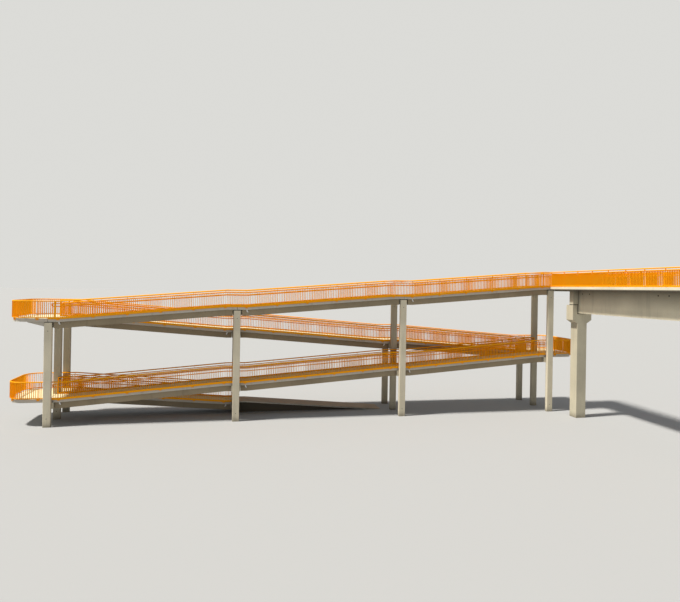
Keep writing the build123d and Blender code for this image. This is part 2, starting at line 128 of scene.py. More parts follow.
class LayoutSizes(PropertyGroup):
    """Main sizes of the ramps, as the solids have them."""

    span: FloatProperty(
        name="Span", description="From frame to frame", default=SPAN_LENGTH, unit="LENGTH")
    rise: FloatProperty(
        name="Rise", description="Climb in one span", default=RISE_STEP, unit="LENGTH")
    flat: FloatProperty(
        name="Flat", description="Level stretch beside a frame", default=0.65, unit="LENGTH")
    slab: FloatProperty(name="Slab", description="Slab thickness", default=0.2, unit="LENGTH")
    corner: FloatProperty(
        name="Corner", description="Radius of a landing corner", default=0.85, unit="LENGTH")
    row: FloatProperty(
        name="Row", description="From row to row of columns", default=2.02, unit="LENGTH")
    column_x: FloatProperty(
        name="Column width", description="Along the ramps", default=0.42, unit="LENGTH")
    column_y: FloatProperty(
        name="Column depth", description="Across the ramps", default=0.25, unit="LENGTH")
    pad: FloatProperty(
        name="Bearing pad", description="Thickness of a pad", default=0.05, unit="LENGTH")
    joint: FloatProperty(
        name="Joint", description="Gap between two slabs", default=0.02, unit="LENGTH")
    cheek: FloatProperty(
        name="Cheek", description="Height beside the girder", default=0.6, unit="LENGTH")
    stub_x: FloatProperty(
        name="Stub width", description="Along the ramps", default=0.38, unit="LENGTH")
    stub_y: FloatProperty(
        name="Stub depth", description="Across the ramps", default=0.4, unit="LENGTH")
    bed: FloatProperty(name="Bed joint", description="Under a stub", default=0.045, unit="LENGTH")


class RailingSizes(PropertyGroup):
    """Sizes of the railings and their bars."""

    height: FloatProperty(
        name="Height", description="Top of the railing", default=1.05, unit="LENGTH")
    foot: FloatProperty(
        name="Foot rail", description="Above the floor", default=0.06, unit="LENGTH")
    rail: FloatProperty(
        name="Rail radius", description="Of the top rail", default=0.036, unit="LENGTH")
    bar: FloatProperty(
        name="Bar", description="Thickness of a flat bar", default=0.016, unit="LENGTH")
    bar_deep: FloatProperty(
        name="Bar depth", description="Across the rail line", default=0.07, unit="LENGTH")
    pitch: FloatProperty(
        name="Bar pitch", description="From bar to bar", default=0.11, unit="LENGTH")
    toe: FloatProperty(name="Toe plate", description="Its thickness", default=0.008, unit="LENGTH")
    toe_drop: FloatProperty(
        name="Toe plate drop", description="Below the floor", default=0.04, unit="LENGTH")
    axis: FloatProperty(
        name="Axis", description="Rail line outside the edge", default=0.045, unit="LENGTH")
    post: FloatProperty(
        name="Post", description="Thickness of a post", default=0.016, unit="LENGTH")
    end_post: FloatProperty(
        name="End post", description="Width of an end post", default=0.06, unit="LENGTH")
    thick: FloatProperty(
        name="Thick post", description="Width of the thick post", default=0.1, unit="LENGTH")
    thick_at: FloatProperty(
        name="Thick post at", description="From its frame", default=0.4, unit="LENGTH")
    first: FloatProperty(
        name="First post", description="From a frame to a post", default=0.56, unit="LENGTH")
    post_pitch: FloatProperty(
        name="Post pitch", description="On a flight", default=1.92, unit="LENGTH")
    count: IntProperty(name="Posts", description="Posts in one span", default=6, min=2)
    inset: FloatProperty(
        name="Deck inset", description="Rail inside the edge", default=0.07, unit="LENGTH")
    main_pitch: FloatProperty(
        name="Deck post pitch", description="On the deck", default=1.47, unit="LENGTH")
    base: FloatProperty(
        name="Base plate", description="Side of a base plate", default=0.12, unit="LENGTH")
    base_t: FloatProperty(
        name="Base plate depth", description="Its thickness", default=0.015, unit="LENGTH")
    plate: FloatProperty(
        name="Bracket", description="Thickness of a bracket", default=0.025, unit="LENGTH")
    bolt: FloatProperty(
        name="Bolt", description="Radius of a bolt head", default=0.012, unit="LENGTH")
    hand_high: FloatProperty(
        name="High handrail", description="Above the floor", default=0.88, unit="LENGTH")
    hand_low: FloatProperty(
        name="Low handrail", description="Above the floor", default=0.71, unit="LENGTH")
    hand: FloatProperty(
        name="Handrail radius", description="Its radius", default=0.026, unit="LENGTH")
    hand_in: FloatProperty(
        name="Handrail inset", description="Inside the edge", default=0.015, unit="LENGTH")
    hand_start: FloatProperty(
        name="Handrail start", description="From a frame", default=0.3, unit="LENGTH")


class Finishes(PropertyGroup):
    """Colours of the bridge."""

    paint: FloatVectorProperty(
        name="Railing paint", description="Golden orange", subtype="COLOR",
        default=(0.99, 0.41, 0.002))
    paint_worn: FloatVectorProperty(
        name="Worn paint", description="Faded patches", subtype="COLOR",
        default=(0.97, 0.43, 0.006))
    column: FloatVectorProperty(
        name="Column concrete", description="Pale beige", subtype="COLOR",
        default=(0.76, 0.69, 0.53))
    # Base of the flights' webs and undersides, painted darker than their slab sides as painted
    # shade under the slab
    slab: FloatVectorProperty(
        name="Slab concrete", description="Grey beige", subtype="COLOR",
        default=(0.35, 0.285, 0.19))
    # Base of the landings and platforms; on the flights and the low ramp it paints the slab sides
    # paler than the webs, as painted light
    edge: FloatVectorProperty(
        name="Slab edge", description="Paler side of a slab", subtype="COLOR",
        default=(0.60, 0.56, 0.48))
    main: FloatVectorProperty(
        name="Main concrete", description="Warm grey", subtype="COLOR",
        default=(0.56, 0.515, 0.39))
    fascia: FloatVectorProperty(
        name="Deck edge", description="Cream", subtype="COLOR",
        default=(0.74, 0.70, 0.55))
    floor: FloatVectorProperty(
        name="Walking floor", description="Trodden concrete", subtype="COLOR",
        default=(0.77, 0.70, 0.44))
    path: FloatVectorProperty(
        name="Low ramp floor", description="Dusty", subtype="COLOR",
        default=(0.50, 0.39, 0.29))
    # Colour of water runs and specks, also mixed in as painted shade in corners, under the deck
    # edge and under the floors above
    dirt_and_shade: FloatVectorProperty(
        name="Dirt", description="Water runs and soot", subtype="COLOR",
        default=(0.11, 0.09, 0.07))
    # Damp stain at the feet of columns and piers; also the base of the low ramp wedge, painted
    # dark as shade under its overhanging top slab
    damp_and_shade: FloatVectorProperty(
        name="Damp foot", description="Concrete by the ground", subtype="COLOR",
        default=(0.10, 0.085, 0.06))
    pipe: FloatVectorProperty(
        name="Drain pipe", description="White plastic", subtype="COLOR",
        default=(0.80, 0.79, 0.76))
    # Black of the seals and bed joints, also used as painted shade in the bearing gaps and lifting
    # holes
    rubber: FloatVectorProperty(
        name="Bearing rubber", description="Black rubber", subtype="COLOR",
        default=(0.025, 0.024, 0.022))
    steel: FloatVectorProperty(
        name="Bolt steel", description="Galvanised steel", subtype="COLOR",
        default=(0.40, 0.38, 0.35))


class StageSettings(PropertyGroup):
    """Floor, light and camera."""

    ground: FloatVectorProperty(
        name="Floor", description="Plain pale floor", subtype="COLOR",
        default=(0.41, 0.415, 0.42))
    sky: FloatVectorProperty(
        name="Background", description="Pale background", subtype="COLOR",
        default=(0.714, 0.712, 0.685))
    key: FloatProperty(name="Key light", description="Strength of the key light", default=5.0)
    fill: FloatProperty(name="Fill light", description="Strength of the world light", default=0.32)
    yaw: FloatProperty(
        name="Yaw", description="Camera turned right of Y", subtype="ANGLE",
        default=math.radians(11.785))
    pitch: FloatProperty(
        name="Pitch", description="Camera tilted down", subtype="ANGLE",
        default=math.radians(-0.207))
    roll: FloatProperty(
        name="Roll", description="Camera rolled", subtype="ANGLE",
        default=math.radians(0.974))
    lens: FloatProperty(name="Lens", description="Focal length on a 36 mm sensor", default=29.275)


def settings():
    """The add-on's own settings."""
    return bpy.context.scene.footbridge


def lay():
    """Layout sizes."""
    return settings().layout


def rails():
    """Railing sizes."""
    return settings().railing


def tones():
    """Finishes."""
    return settings().finish


def frame_x(i):
    """X of a frame of columns."""
    return lay().span * i


def floor_at(flight, x):
    """Floor height of a flight at x."""
    s = lay()
    levels = STEPS[flight]
    i = min(max(int(x // s.span), 0), len(levels) - 2)
    a = frame_x(i) + s.flat
    b = frame_x(i + 1) - s.flat
    t = min(max((x - a) / (b - a), 0.0), 1.0)
    return s.rise * (levels[i] + (levels[i + 1] - levels[i]) * t)


def column_head(i, row):
    """Top of a column: the last flight's slab or, in the far row, the third's."""
    flight = 3 if row == FAR_ROW else 4
    return lay().rise * STEPS[flight][i] - lay().slab - lay().pad


BOX_FACES = (
    (0, 1, 3, 2), (4, 6, 7, 5), (0, 4, 5, 1), (2, 3, 7, 6), (0, 2, 6, 4), (1, 5, 7, 3),
)


class Shapes:
    """Collects simple solids for one joined mesh."""

    def __init__(self):
        self.verts = []
        self.faces = []

    def box(self, low, high, place=Matrix.Identity(4)):
        """Box between two corners, moved by a matrix."""
        n = len(self.verts)
        for x in (low[0], high[0]):
            for y in (low[1], high[1]):
                for z in (low[2], high[2]):
                    self.verts.append(place @ Vector((x, y, z)))
        for quad in BOX_FACES:
            self.faces.append([n + k for k in quad])

    def rings(self, rings):
        """Skin over rings of points, closed at both ends."""
        n = len(self.verts)
        sides = len(rings[0])
        for ring in rings:
            self.verts.extend(ring)
        self.faces.append([n + k for k in reversed(range(sides))])
        last = n + (len(rings) - 1) * sides
        self.faces.append([last + k for k in range(sides)])
        for r in range(len(rings) - 1):
            a = n + r * sides
            for k in range(sides):
                j = (k + 1) % sides
                self.faces.append([a + k, a + j, a + sides + j, a + sides + k])

    def prism(self, radius, depth, sides, place):
        """Prism from the local origin along the local Z axis."""
        ring = [circle_point(radius, 2 * math.pi * k / sides) for k in range(sides)]
        self.rings([[place @ (p + Vector((0, 0, z))) for p in ring] for z in (0, depth)])

    def loop(self, bend, radius, start, stop, steps, sides, place):
        """Round bar bent in the local XZ plane, from one angle to another."""
        rings = []
        for i in range(steps + 1):
            a = start + (stop - start) * i / steps
            spin = Matrix.Rotation(-a, 4, "Y")
            ring = [circle_point(radius, 2 * math.pi * k / sides) for k in range(sides)]
            rings.append([place @ (spin @ (p + Vector((bend, 0, 0)))) for p in ring])
        self.rings(rings)

    def piece(self, name, material, smooth=False):
        """The collected solids as one object that rides on the bridge."""
        mesh = bpy.data.meshes.new(name)
        mesh.from_pydata(self.verts, [], self.faces)
        mesh.materials.append(material)
        if smooth:
            mesh.shade_smooth()
        made = bpy.data.objects.new(name, mesh)
        bpy.context.scene.collection.objects.link(made)
        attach(made, "root")
        return made


def circle_point(radius, angle):
    """Point of a circle in the local XY plane."""
    return Vector((radius * math.cos(angle), radius * math.sin(angle), 0))


def facing(point, angle):
    """Matrix at a point, with local X turned to an angle about Z."""
    return Matrix.Translation(point) @ Matrix.Rotation(angle, 4, "Z")


class Railing:
    """Line of one railing, with posts at distances along it."""

    def __init__(self, name, out, hung=True):
        self.name = name
        self.out = out
        self.hung = hung
        self.parts = []
        self.posts = []

    def length(self):
        """Length of the whole line in plan."""
        return sum(length for length, _ in self.parts)

    def run(self, a, b, flight=None):
        """Straight run; on a flight the floor height follows x."""
        a = Vector(a)
        b = Vector(b)
        length = (b.xy - a.xy).length
        angle = math.atan2(b.y - a.y, b.x - a.x)

        def at(s):
            p = a.lerp(b, s / length)
            z = p.z if flight is None else floor_at(flight, p.x)
            return Vector((p.x, p.y, z)), angle

        self.parts.append((length, at))

    def arc(self, centre, radius, start, stop):
        """Arc in plan, from one angle to another."""
        turn = 1 if stop > start else -1

        def at(s):
            a = start + turn * s / radius
            return Vector(centre) + circle_point(radius, a), a + turn * math.pi / 2

        self.parts.append((abs(stop - start) * radius, at))

    def at(self, s):
        """Floor point under the line, and its direction, at a distance along it."""
        for length, at in self.parts:
            if s <= length:
                return at(s)
            s -= length
        length, at = self.parts[-1]
        return at(length)

    def outward(self, angle):
        """Direction away from the slab."""
        return angle + self.out * math.pi / 2

    def stations(self):
        """Distances for the flat rail on the bars, close enough for the bends."""
        found = [0.0]
        for length, _ in self.parts:
            count = max(1, int(round(length / rails().pitch)))
            base = found[-1]
            found += [base + length * (k + 1) / count for k in range(count)]
        return found

    def flat_ring(self, s, deep, z, thick):
        """Corners of the flat rail at a distance along the line."""
        place = facing(*self.at(s))
        corners = ((-deep, z), (deep, z), (deep, z + thick), (-deep, z + thick))
        return [place @ Vector((0, y, h)) for y, h in corners]

    def bars(self):
        """Distances of the bars, spread evenly between the posts."""
        pitch = rails().pitch
        posts = sorted(self.posts)
        total = self.length()
        found = []
        first = posts[0][0] - posts[0][1] / 2
        count = int(round(first / pitch))
        found += [(k + 0.5) * first / count for k in range(count)]
        for (s0, w0), (s1, w1) in zip(posts, posts[1:]):
            a = s0 + w0 / 2
            gap = s1 - w1 / 2 - a
            count = int(round(gap / pitch))
            found += [a + k * gap / count for k in range(1, count)]
        last = posts[-1][0] + posts[-1][1] / 2
        count = int(round((total - last) / pitch))
        found += [last + (k + 0.5) * (total - last) / count for k in range(count)]
        return found


def flight_rail(name, flight, extra):
    """Railing along one side of a flight, with the extent of its solid."""
    r = rails()
    low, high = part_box("rail_" + name)
    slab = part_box(
        "flight_{}_span".format(flight) if flight == 1 else "flight_{}_span_1".format(flight))
    near = name.endswith("near")
    y = slab[0].y - r.axis if near else slab[1].y + r.axis
    rail = Railing(name, -1 if near else 1)
    rail.run((low.x, y, 0), (high.x, y, 0), flight)
    offsets = [r.first + k * r.post_pitch for k in range(r.count)]
    stations = [(frame_x(i) + offset, r.post) for i in range(FRAMES) for offset in offsets]
    rail.posts = [(x - low.x, width) for x, width in stations + extra if low.x <= x <= high.x]
    return rail


def landing_rail(name, x_in):
    """Railing around a landing with rounded outer corners."""
    s = lay()
    r = rails()
    low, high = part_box("landing_" + name)
    z = high.z
    out = 1 if high.x > x_in + 1 else -1
    x_out = high.x if out > 0 else low.x
    cx = x_out - out * s.corner
    near = low.y + s.corner
    far = high.y - s.corner
    big = s.corner + r.axis
    quarter = math.pi / 2
    end = quarter - out * quarter
    edge = x_out + out * r.axis
    rail = Railing("landing_" + name, -out)
    rail.run((x_in, low.y - r.axis, z), (cx, low.y - r.axis, z))
    rail.arc((cx, near, z), big, -quarter, end if out > 0 else -end)
    rail.run((edge, near, z), (edge, far, z))
    rail.arc((cx, far, z), big, end, quarter)
    rail.run((cx, high.y + r.axis, z), (x_in, high.y + r.axis, z))
    straight = abs(cx - x_in)
    turn = big * quarter
    side = far - near
    total = rail.length()
    places = (r.first, straight + turn / 2, straight + turn + side / 4)
    rail.posts = [(p, r.post) for p in places] + [(total - p, r.post) for p in places]
    return rail


def corner_rail():
    """Railing on the far and right sides of the corner platform."""
    r = rails()
    low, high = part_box("corner_platform")
    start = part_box("rail_corner")[0].x
    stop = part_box("main_deck")[1].y
    y = high.y + r.axis
    x = high.x + r.axis
    rail = Railing("corner", 1)
    rail.run((start, y, high.z), (x, y, high.z))
    rail.run((x, y, high.z), (x, stop, high.z))
    turn = x - start
    places = (
        r.first,
        turn - r.axis - r.first / 2,
        turn + r.axis + r.first / 2,
        turn + y - low.y - r.first / 2,
    )
    rail.posts = [(p, r.post) for p in places]
    return rail


def deck_rail(name, right):
    """Railing that stands on the main deck."""
    r = rails()
    low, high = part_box("main_deck")
    x = high.x - r.inset if right else low.x + r.inset
    rail = Railing(name, 1 if right else -1, hung=False)
    rail.run((x, high.y, high.z), (x, low.y, high.z))
    total = rail.length()
    count = int(total // r.main_pitch)
    places = [r.base / 2 + k * r.main_pitch for k in range(count)] + [total - r.base / 2]
    rail.posts = [(p, r.post) for p in places]
    return rail


def all_railings():
    """Every railing of the bridge."""
    r = rails()
    end = frame_x(FRAMES - 1)
    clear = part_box("rail_flight_3_near")[0].x
    left = (clear + r.end_post / 2, r.end_post)
    right = (end - clear - r.end_post / 2, r.end_post)
    first_right = (frame_x(1) - clear - r.end_post / 2, r.end_post)
    return [
        flight_rail("flight_2_near", 2, []),
        flight_rail("flight_2_far", 2, [left, right]),
        flight_rail("flight_3_near", 3, [left, right]),
        flight_rail("flight_3_far", 3, []),
        flight_rail("flight_4_near", 4, [(r.thick_at, r.thick)]),
        flight_rail("flight_4_far", 4, [left]),
        flight_rail("flight_1_near", 1, [left, first_right]),
        flight_rail("flight_1_far", 1, [first_right]),
        landing_rail("lower_left", 0.0),
        landing_rail("upper_left", 0.0),
        landing_rail("right", end),
        corner_rail(),
        deck_rail("main_left", False),
        deck_rail("main_right", True),
    ]


# Sockets of a Mix node that mixes colours
MIX_FACTOR = 0
MIX_A = 6
MIX_B = 7
MIX_RESULT = 2


def wire(tree, a, out, b, into):
    """Joins two sockets."""
    tree.links.new(a.outputs[out], b.inputs[into])


def noise(tree, coords, scale, detail, stretch=(1, 1, 1)):
    """Noise texture over the object's own coordinates."""
    mapping = tree.nodes.new("ShaderNodeMapping")
    mapping.inputs["Scale"].default_value = stretch
    wire(tree, coords, "Object", mapping, "Vector")
    texture = tree.nodes.new("ShaderNodeTexNoise")
    texture.inputs["Scale"].default_value = scale
    texture.inputs["Detail"].default_value = detail
    wire(tree, mapping, "Vector", texture, "Vector")
    return texture


def span_of(tree, source, out, low, high, bottom=0.0, top=1.0):
    """A value taken from one range to another, clamped."""
    node = tree.nodes.new("ShaderNodeMapRange")
    node.inputs["From Min"].default_value = low
    node.inputs["From Max"].default_value = high
    node.inputs["To Min"].default_value = bottom
    node.inputs["To Max"].default_value = top
    wire(tree, source, out, node, "Value")
    return node


def times(tree, a, b):
    """Product of two values."""
    node = tree.nodes.new("ShaderNodeMath")
    node.operation = "MULTIPLY"
    wire(tree, a, 0, node, 0)
    wire(tree, b, 0, node, 1)
    return node


def blend(tree, factor, a, b):
    """Colour between a and b, each of them a colour or a node."""
    node = tree.nodes.new("ShaderNodeMix")
    node.data_type = "RGBA"
    wire(tree, factor, 0, node, MIX_FACTOR)
    for socket, value in ((MIX_A, a), (MIX_B, b)):
        if isinstance(value, bpy.types.Node):
            tree.links.new(value.outputs[MIX_RESULT], node.inputs[socket])
        else:
            node.inputs[socket].default_value = (*value, 1)
    return node


def shaded(name):
    """Empty material with its tree and shader."""
    material = bpy.data.materials.new(name)
    material.use_nodes = True
    tree = material.node_tree
    return material, tree, tree.nodes["Principled BSDF"]


def scaled(colour, factor):
    """A colour made lighter or darker."""
    return tuple(min(c * factor, 1.0) for c in colour)


def mottled(tree, texture, reach, colour, dark, light):
    """A colour that goes from darker to lighter with a noise texture."""
    share = span_of(tree, texture, "Fac", *reach)
    return blend(tree, share, scaled(colour, dark), scaled(colour, light))


def concrete(name, colour, streaks, floor=None, damp=None, sides=None, shade_below=None, shade=None):
    """Cast concrete with clouds, grain and water runs, and painted shade in its corners.

    Floor is the colour of its trodden top and damp the height up to which
    its foot is stained. Sides is a pair of Y positions beyond which the slab
    stands out past its webs, and is painted paler: painted light on the sides,
    painted shade on the webs between. Below the height lip it is painted darker,
    as painted shade under the deck edge. Shade is an axis, a place along it,
    one further on, and how dark the painted shade is there.
    """
    material, tree, shader = shaded(name)
    dirt_and_shade = tones().dirt_and_shade
    coords = tree.nodes.new("ShaderNodeTexCoord")
    split = tree.nodes.new("ShaderNodeSeparateXYZ")
    wire(tree, coords, "Object", split, "Vector")
    clouds = noise(tree, coords, scale=0.5, detail=5.0)
    last = mottled(tree, clouds, CLOUDS, colour, dark=0.9, light=1.08)
    # Painted light and shade: slab sides beyond these Y positions paler, webs between them darker
    if sides is not None:
        near, far = sides
        pale = mottled(tree, clouds, CLOUDS, tones().edge, dark=0.92, light=1.05)
        before = span_of(tree, split, "Y", near, near + WEB_SHADE_BLUR, bottom=1.0, top=0.0)
        beyond = span_of(tree, split, "Y", far - WEB_SHADE_BLUR, far)
        last = blend(tree, before, last, pale)
        last = blend(tree, beyond, last, pale)
    grain = noise(tree, coords, scale=30.0, detail=4.0)
    specks = span_of(tree, grain, "Fac", 0.35, 0.75, top=0.12)
    last = blend(tree, specks, last, scaled(dirt_and_shade, 1.5))
    runs = noise(tree, coords, scale=1.0, detail=6.0, stretch=(4.0, 4.0, 0.3))
    last = blend(tree, span_of(tree, runs, "Fac", 0.55, 0.85, top=streaks), last, dirt_and_shade)
    # Painted shade: darker in corners, creases and under overhangs, by ambient occlusion
    corners = tree.nodes.new("ShaderNodeAmbientOcclusion")
    corners.samples = 6
    corners.inputs["Distance"].default_value = CORNER_SHADE_REACH
    corner_shade = span_of(tree, corners, "AO", 0.2, 0.8, bottom=0.5, top=0.0)
    last = blend(tree, corner_shade, last, scaled(dirt_and_shade, 0.8))
    # Painted shade: everything below this height is darker, standing for the shade under the deck
    # edge
    if shade_below is not None:
        under = span_of(tree, split, "Z", shade_below, shade_below + LIP_SHADE_BLUR, bottom=0.9, top=0.0)
        last = blend(tree, under, last, dirt_and_shade)
    # Painted shade: darker along the given axis, from start to stop
    if shade is not None:
        axis, start, stop, amount = shade
        painted_shade = span_of(tree, split, axis, start, stop, top=amount)
        last = blend(tree, painted_shade, last, scaled(dirt_and_shade, 0.5))
    if damp is not None:
        low = span_of(tree, split, "Z", 0.0, damp, bottom=0.65, top=0.0)
        ragged = noise(tree, coords, scale=3.0, detail=5.0)
        border = span_of(tree, ragged, "Fac", 0.3, 0.6, bottom=0.4)
        last = blend(tree, times(tree, low, border), last, tones().damp_and_shade)
    if floor is not None:
        geometry = tree.nodes.new("ShaderNodeNewGeometry")
        way = tree.nodes.new("ShaderNodeSeparateXYZ")
        wire(tree, geometry, "Normal", way, "Vector")
        scuffs = noise(tree, coords, scale=1.3, detail=6.0)
        tread = mottled(tree, scuffs, (0.3, 0.7), floor, dark=0.88, light=1.05)
        last = blend(tree, span_of(tree, way, "Z", 0.6, 0.9), last, tread)
    tree.links.new(last.outputs[MIX_RESULT], shader.inputs["Base Color"])
    shader.inputs["Roughness"].default_value = 0.9
    shader.inputs["Specular IOR Level"].default_value = 0.2
    bump = tree.nodes.new("ShaderNodeBump")
    bump.inputs["Strength"].default_value = 0.25
    bump.inputs["Distance"].default_value = 0.004
    wire(tree, grain, "Fac", bump, "Height")
    wire(tree, bump, "Normal", shader, "Normal")
    return material


def paint(name, colour, worn):
    """Gloss paint on steel, faded in places."""
    material, tree, shader = shaded(name)
    coords = tree.nodes.new("ShaderNodeTexCoord")
    fade = noise(tree, coords, scale=0.9, detail=5.0)
    mix = blend(tree, span_of(tree, fade, "Fac", 0.42, 0.74), colour, worn)
    tree.links.new(mix.outputs[MIX_RESULT], shader.inputs["Base Color"])
    shader.inputs["Roughness"].default_value = 0.5
    shader.inputs["Specular IOR Level"].default_value = 0.12
    return material


def plain(name, colour, roughness):
    """One even colour."""
    material, _, shader = shaded(name)
    shader.inputs["Base Color"].default_value = (*colour, 1)
    shader.inputs["Roughness"].default_value = roughness
    return material


def kept(name, make):
    """A material made once and used by several pieces."""
    return bpy.data.materials.get(name) or make(name)


def railing_paint():
    """Paint of all the railings."""
    return kept("railing_paint", lambda n: paint(n, tones().paint, tones().paint_worn))


def black_rubber():
    """Black of the joint seals and stub bed joints, and black painted shade in the bearing gaps
    and the girder's lifting holes.
    """
    return kept("black_rubber", lambda n: plain(n, tones().rubber, 0.8))


def bolt_steel():
    """Steel of the bolts."""
    return kept("bolt_steel", lambda n: plain(n, tones().steel, 0.5))


def dress(node, material):
    """Gives a solid its finish."""
    mesh = frame["nodes"][node].data
    mesh.materials.clear()
    mesh.materials.append(material)


def add_floor(scene):
    """Plain floor under everything, which keeps the shadow."""
    mesh = bpy.data.meshes.new("stage_floor")
    edge = FLOOR_REACH
    corners = [(-edge, -edge, 0), (edge, -edge, 0), (edge, edge, 0), (-edge, edge, 0)]
    mesh.from_pydata(corners, [], [(0, 1, 2, 3)])
    mesh.materials.append(plain("stage_floor", settings().stage.ground, 1.0))
    floor = bpy.data.objects.new("stage_floor", mesh)
    scene.collection.objects.link(floor)


def backdrop(tree, colour, strength):
    """Background shader of one colour."""
    node = tree.nodes.new("ShaderNodeBackground")
    node.inputs["Color"].default_value = (*colour, 1)
    node.inputs["Strength"].default_value = strength
    return node


def add_world(scene):
    """Soft light from all sides, with a pale background for the camera."""
    s = settings().stage
    world = bpy.data.worlds.new("studio")
    scene.world = world
    world.use_nodes = True
    tree = world.node_tree
    tree.nodes.clear()
    out = tree.nodes.new("ShaderNodeOutputWorld")
    seen = backdrop(tree, s.sky, 1.0)
    light = backdrop(tree, WORLD_COLOUR, s.fill)
    path = tree.nodes.new("ShaderNodeLightPath")
    either = tree.nodes.new("ShaderNodeMath")
    either.operation = "MAXIMUM"
    wire(tree, path, "Is Camera Ray", either, 0)
    wire(tree, path, "Is Glossy Ray", either, 1)
    mix = tree.nodes.new("ShaderNodeMixShader")
    wire(tree, either, "Value", mix, "Fac")
    wire(tree, light, 0, mix, 1)
    wire(tree, seen, 0, mix, 2)
    wire(tree, mix, 0, out, "Surface")


def add_sun(scene):
    """The one lamp."""
    sun = bpy.data.lights.new("key", "SUN")
    sun.energy = settings().stage.key
    sun.angle = SUN_BLUR
    sun.color = SUN_COLOUR
    lamp = bpy.data.objects.new("key", sun)
    lamp.rotation_euler = Vector(SUN_WAY).to_track_quat("-Z", "Y").to_euler()
    scene.collection.objects.link(lamp)


def add_camera(scene):
    """Camera at the photograph's viewing angle."""
    s = settings().stage
    lens = bpy.data.cameras.new("camera")
    lens.lens = s.lens
    lens.sensor_width = SENSOR
    lens.clip_end = CAMERA_FAR
    lens.shift_x = SHIFT_PIXELS[0] / PHOTO_WIDTH
    lens.shift_y = SHIFT_PIXELS[1] / PHOTO_WIDTH
    camera = bpy.data.objects.new("camera", lens)
    ahead = Vector((
        math.sin(s.yaw) * math.cos(s.pitch),
        math.cos(s.yaw) * math.cos(s.pitch),
        -math.sin(s.pitch),
    ))
    right = Vector((math.cos(s.yaw), -math.sin(s.yaw), 0))
    down = ahead.cross(right)
    level = math.cos(s.roll)
    tilt = math.sin(s.roll)
    across = right * level - down * tilt
    up = -(right * tilt + down * level)
    turn = Matrix((across, up, -ahead)).transposed().to_4x4()
    camera.matrix_world = Matrix.Translation(CAMERA_PLACE) @ turn
    scene.collection.objects.link(camera)
    scene.camera = camera


class FOOTBRIDGE_OT_stage(Operator):
    """Floor, background, light and camera"""

    bl_idname = "footbridge.stage"
    bl_label = "Stage"

    def execute(self, context):
        add_floor(context.scene)
        add_world(context.scene)
        add_sun(context.scene)
        add_camera(context.scene)
        context.scene.view_settings.view_transform = "Standard"
        return {"FINISHED"}


class FOOTBRIDGE_OT_concrete(Operator):
    """Concrete of the columns, beams, slabs, landings, girder and piers"""

    bl_idname = "footbridge.concrete"
    bl_label = "Concrete"

    def execute(self, context):
        t = tones()
        foot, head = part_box("main_girder")
        pier_shade = ("Z", head.z - PIER_SHADE[0], head.z, PIER_SHADE[1])
        girder_shade = ("Z", foot.z + GIRDER_SHADE[0], head.z, GIRDER_SHADE[1])
        looks = {
            "concrete_columns": concrete(
                "column_concrete", t.column, 0.25, damp=0.4, shade=ROW_SHADE),
            "concrete_slabs": concrete("slab_concrete", t.edge, 0.30, floor=t.floor),
            "concrete_main": concrete(
                "main_concrete", t.main, 0.25, damp=0.4, shade=pier_shade),
        }
        for part in frame["record"]["subparts"]:
            if part["material_slot"] in looks:
                dress(part["node"], looks[part["material_slot"]])
        # Painted light: the girder is a paler copy of the main concrete, with painted shade
        # towards its top
        girder_lit_tone = scaled(t.main, GIRDER_PAINTED_LIGHT)
        dress("main_girder", concrete("girder_concrete", girder_lit_tone, 0.25, shade=girder_shade))
        # Where the flights' painted-light sides begin; the webs between them keep the painted
        # shade
        reach = SPAN_WEB - WEB_OVERLAP
        for flight in STEPS:
            nodes = [n for n in frame["nodes"] if n.startswith("flight_{}_".format(flight))]
            low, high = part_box(nodes[0])
            sides = (low.y + reach, high.y - reach)
            name = "flight_{}_concrete".format(flight)
            finish = concrete(name, t.slab, 0.30, floor=t.floor, sides=sides)
            for node in nodes:
                dress(node, finish)
        # Low ramp: the wedge is painted dark as painted shade and stained damp near the ground;
        # its top slab's sides are painted paler as painted light
        low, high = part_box("low_ramp")
        sides = (low.y + SPAN_WEB, high.y - SPAN_WEB)
        finish = concrete("ramp_concrete", t.damp_and_shade, 0.30, floor=t.path, damp=0.9, sides=sides)
        dress("low_ramp", finish)
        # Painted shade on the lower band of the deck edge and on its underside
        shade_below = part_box("main_deck")[1].z - DECK_SHADE_DROP
        dress("main_deck", concrete("deck_concrete", t.fascia, 0.2, floor=t.floor, shade_below=shade_below))
        return {"FINISHED"}


class FOOTBRIDGE_OT_railings(Operator):
    """Paint on the rails and posts, with their flat bars and toe plates"""

    bl_idname = "footbridge.railings"
    bl_label = "Railings"

    def execute(self, context):
        r = rails()
        finish = railing_paint()
        for node in frame["nodes"]:
            if node.startswith("rail_"):
                dress(node, finish)
        half = r.bar / 2
        deep = r.bar_deep / 2
        low = -r.toe_drop
        for rail in all_railings():
            landing = rail.name.startswith("landing")
            top = r.height - r.rail if landing else r.hand_high
            bars = Shapes()
            for s in rail.bars():
                bars.box((-half, -deep, r.foot), (half, deep, top), facing(*rail.at(s)))
            stations = rail.stations()
            if not landing:
                bars.rings([rail.flat_ring(s, deep, top, half) for s in stations])
            if rail.hung and not landing:
                bars.rings([rail.flat_ring(s, r.toe / 2, low, r.foot - low) for s in stations])
            bars.piece("bars_" + rail.name, finish)
        return {"FINISHED"}


